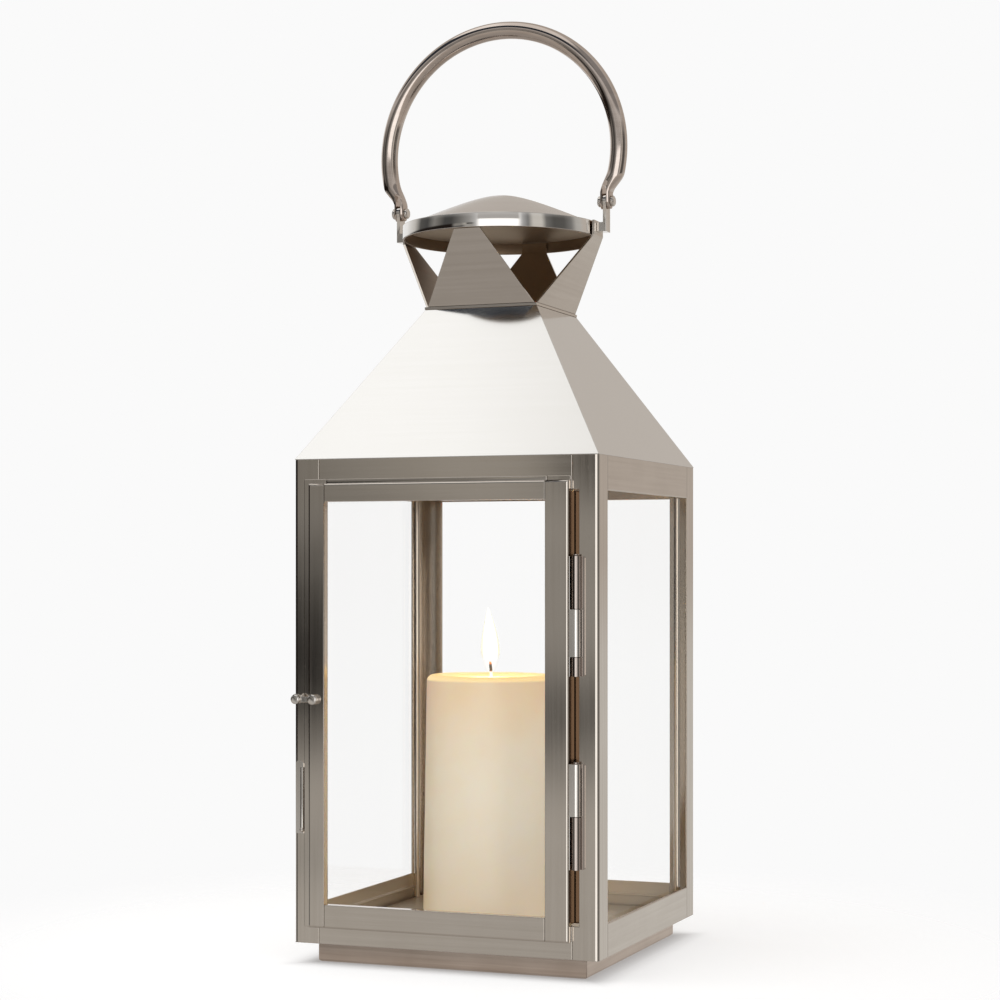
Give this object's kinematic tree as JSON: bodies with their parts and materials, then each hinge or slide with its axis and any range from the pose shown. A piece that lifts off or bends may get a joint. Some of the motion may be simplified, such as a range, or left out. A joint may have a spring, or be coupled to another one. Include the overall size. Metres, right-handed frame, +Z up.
{
  "type": "candle lantern",
  "caption": "Square metal candle lantern with glass sides, a hinged latched front door, a pyramid roof, a vented crown with a domed cap, a ring handle and a pillar candle.",
  "frame": {"origin": "middle of the plinth's underside, where the lantern stands", "axes": "+Z up, -Y towards the door (the front), +X towards the door's hinges"},
  "size_m": [0.185, 0.1937, 0.5548],
  "materials": {
    "polished_steel": "polished stainless steel",
    "satin_steel": "satin brushed stainless steel",
    "plinth_steel": "warm brushed steel",
    "hardware_steel": "lightly polished steel",
    "pane_glass": "clear float glass",
    "wax": "ivory wax, slightly translucent",
    "wick": "charred cotton"
  },
  "bodies": {
    "lantern_body": {"plinth_front": "plinth_steel", "plinth_right": "plinth_steel", "plinth_back": "plinth_steel", "plinth_left": "plinth_steel", "base_plate": "plinth_steel", "underside_plate": "satin_steel", "floor_pan": "polished_steel", "post_front_left": "polished_steel", "post_front_right": "polished_steel", "post_back_left": "polished_steel", "post_back_right": "polished_steel", "bottom_rail_front": "polished_steel", "bottom_rail_right": "polished_steel", "bottom_rail_back": "polished_steel", "bottom_rail_left": "polished_steel", "header_rail_front": "polished_steel", "header_rail_right": "polished_steel", "header_rail_back": "polished_steel", "header_rail_left": "polished_steel", "pane_left": "pane_glass", "pane_right": "pane_glass", "pane_back": "pane_glass", "glass_stop_front_left": "polished_steel", "glass_stop_front_right": "polished_steel", "glass_stop_back_left": "polished_steel", "glass_stop_back_right": "polished_steel", "pane_clips": "hardware_steel", "roof_front": "polished_steel", "roof_right": "polished_steel", "roof_back": "polished_steel", "roof_left": "polished_steel", "crown_collar": "satin_steel", "crown_tab_front": "satin_steel", "crown_tab_right": "satin_steel", "crown_tab_back": "satin_steel", "crown_tab_left": "satin_steel", "cap_ring": "polished_steel", "dome_cap": "satin_steel", "handle_bracket_left": "hardware_steel", "handle_bracket_right": "hardware_steel", "hinge_leaf_upper": "hardware_steel", "hinge_leaf_lower": "hardware_steel", "hinge_pins": "hardware_steel", "keeper_stud": "hardware_steel", "side_catch": "hardware_steel"},
    "door": {"door_stile_left": "polished_steel", "door_stile_right": "polished_steel", "door_rail_top": "polished_steel", "door_rail_bottom": "polished_steel", "door_pane": "pane_glass", "door_glass_clips": "hardware_steel", "door_hinge_leaf_upper": "hardware_steel", "door_hinge_leaf_lower": "hardware_steel", "latch_rivet": "hardware_steel"},
    "latch": {"latch_hook": "hardware_steel"},
    "handle": {"handle_ring": "polished_steel", "handle_pin_left": "hardware_steel", "handle_pin_right": "hardware_steel"},
    "candle": {"candle_wax": "wax", "candle_wick": "wick"}
  },
  "joints": [
    {"name": "door_hinge", "type": "hinge", "parent": "lantern_body", "child": "door", "pos_m": [0.0802, -0.0953, 0.15], "axis": [0, 0, 1], "range_deg": [0, 150]},
    {"name": "latch_pivot", "type": "hinge", "parent": "door", "child": "latch", "pos_m": [-0.0775, -0.0985, 0.1524], "axis": [0, 1, 0], "range_deg": [0, 95]},
    {"name": "handle_swing", "type": "hinge", "parent": "lantern_body", "child": "handle", "pos_m": [0, 0, 0.4435], "axis": [1, 0, 0], "range_deg": [-130, 130]},
    {"name": "candle_lift", "type": "slide", "parent": "lantern_body", "child": "candle", "axis": [0, 0, 1], "range_m": [0, 0.06]}
  ]
}
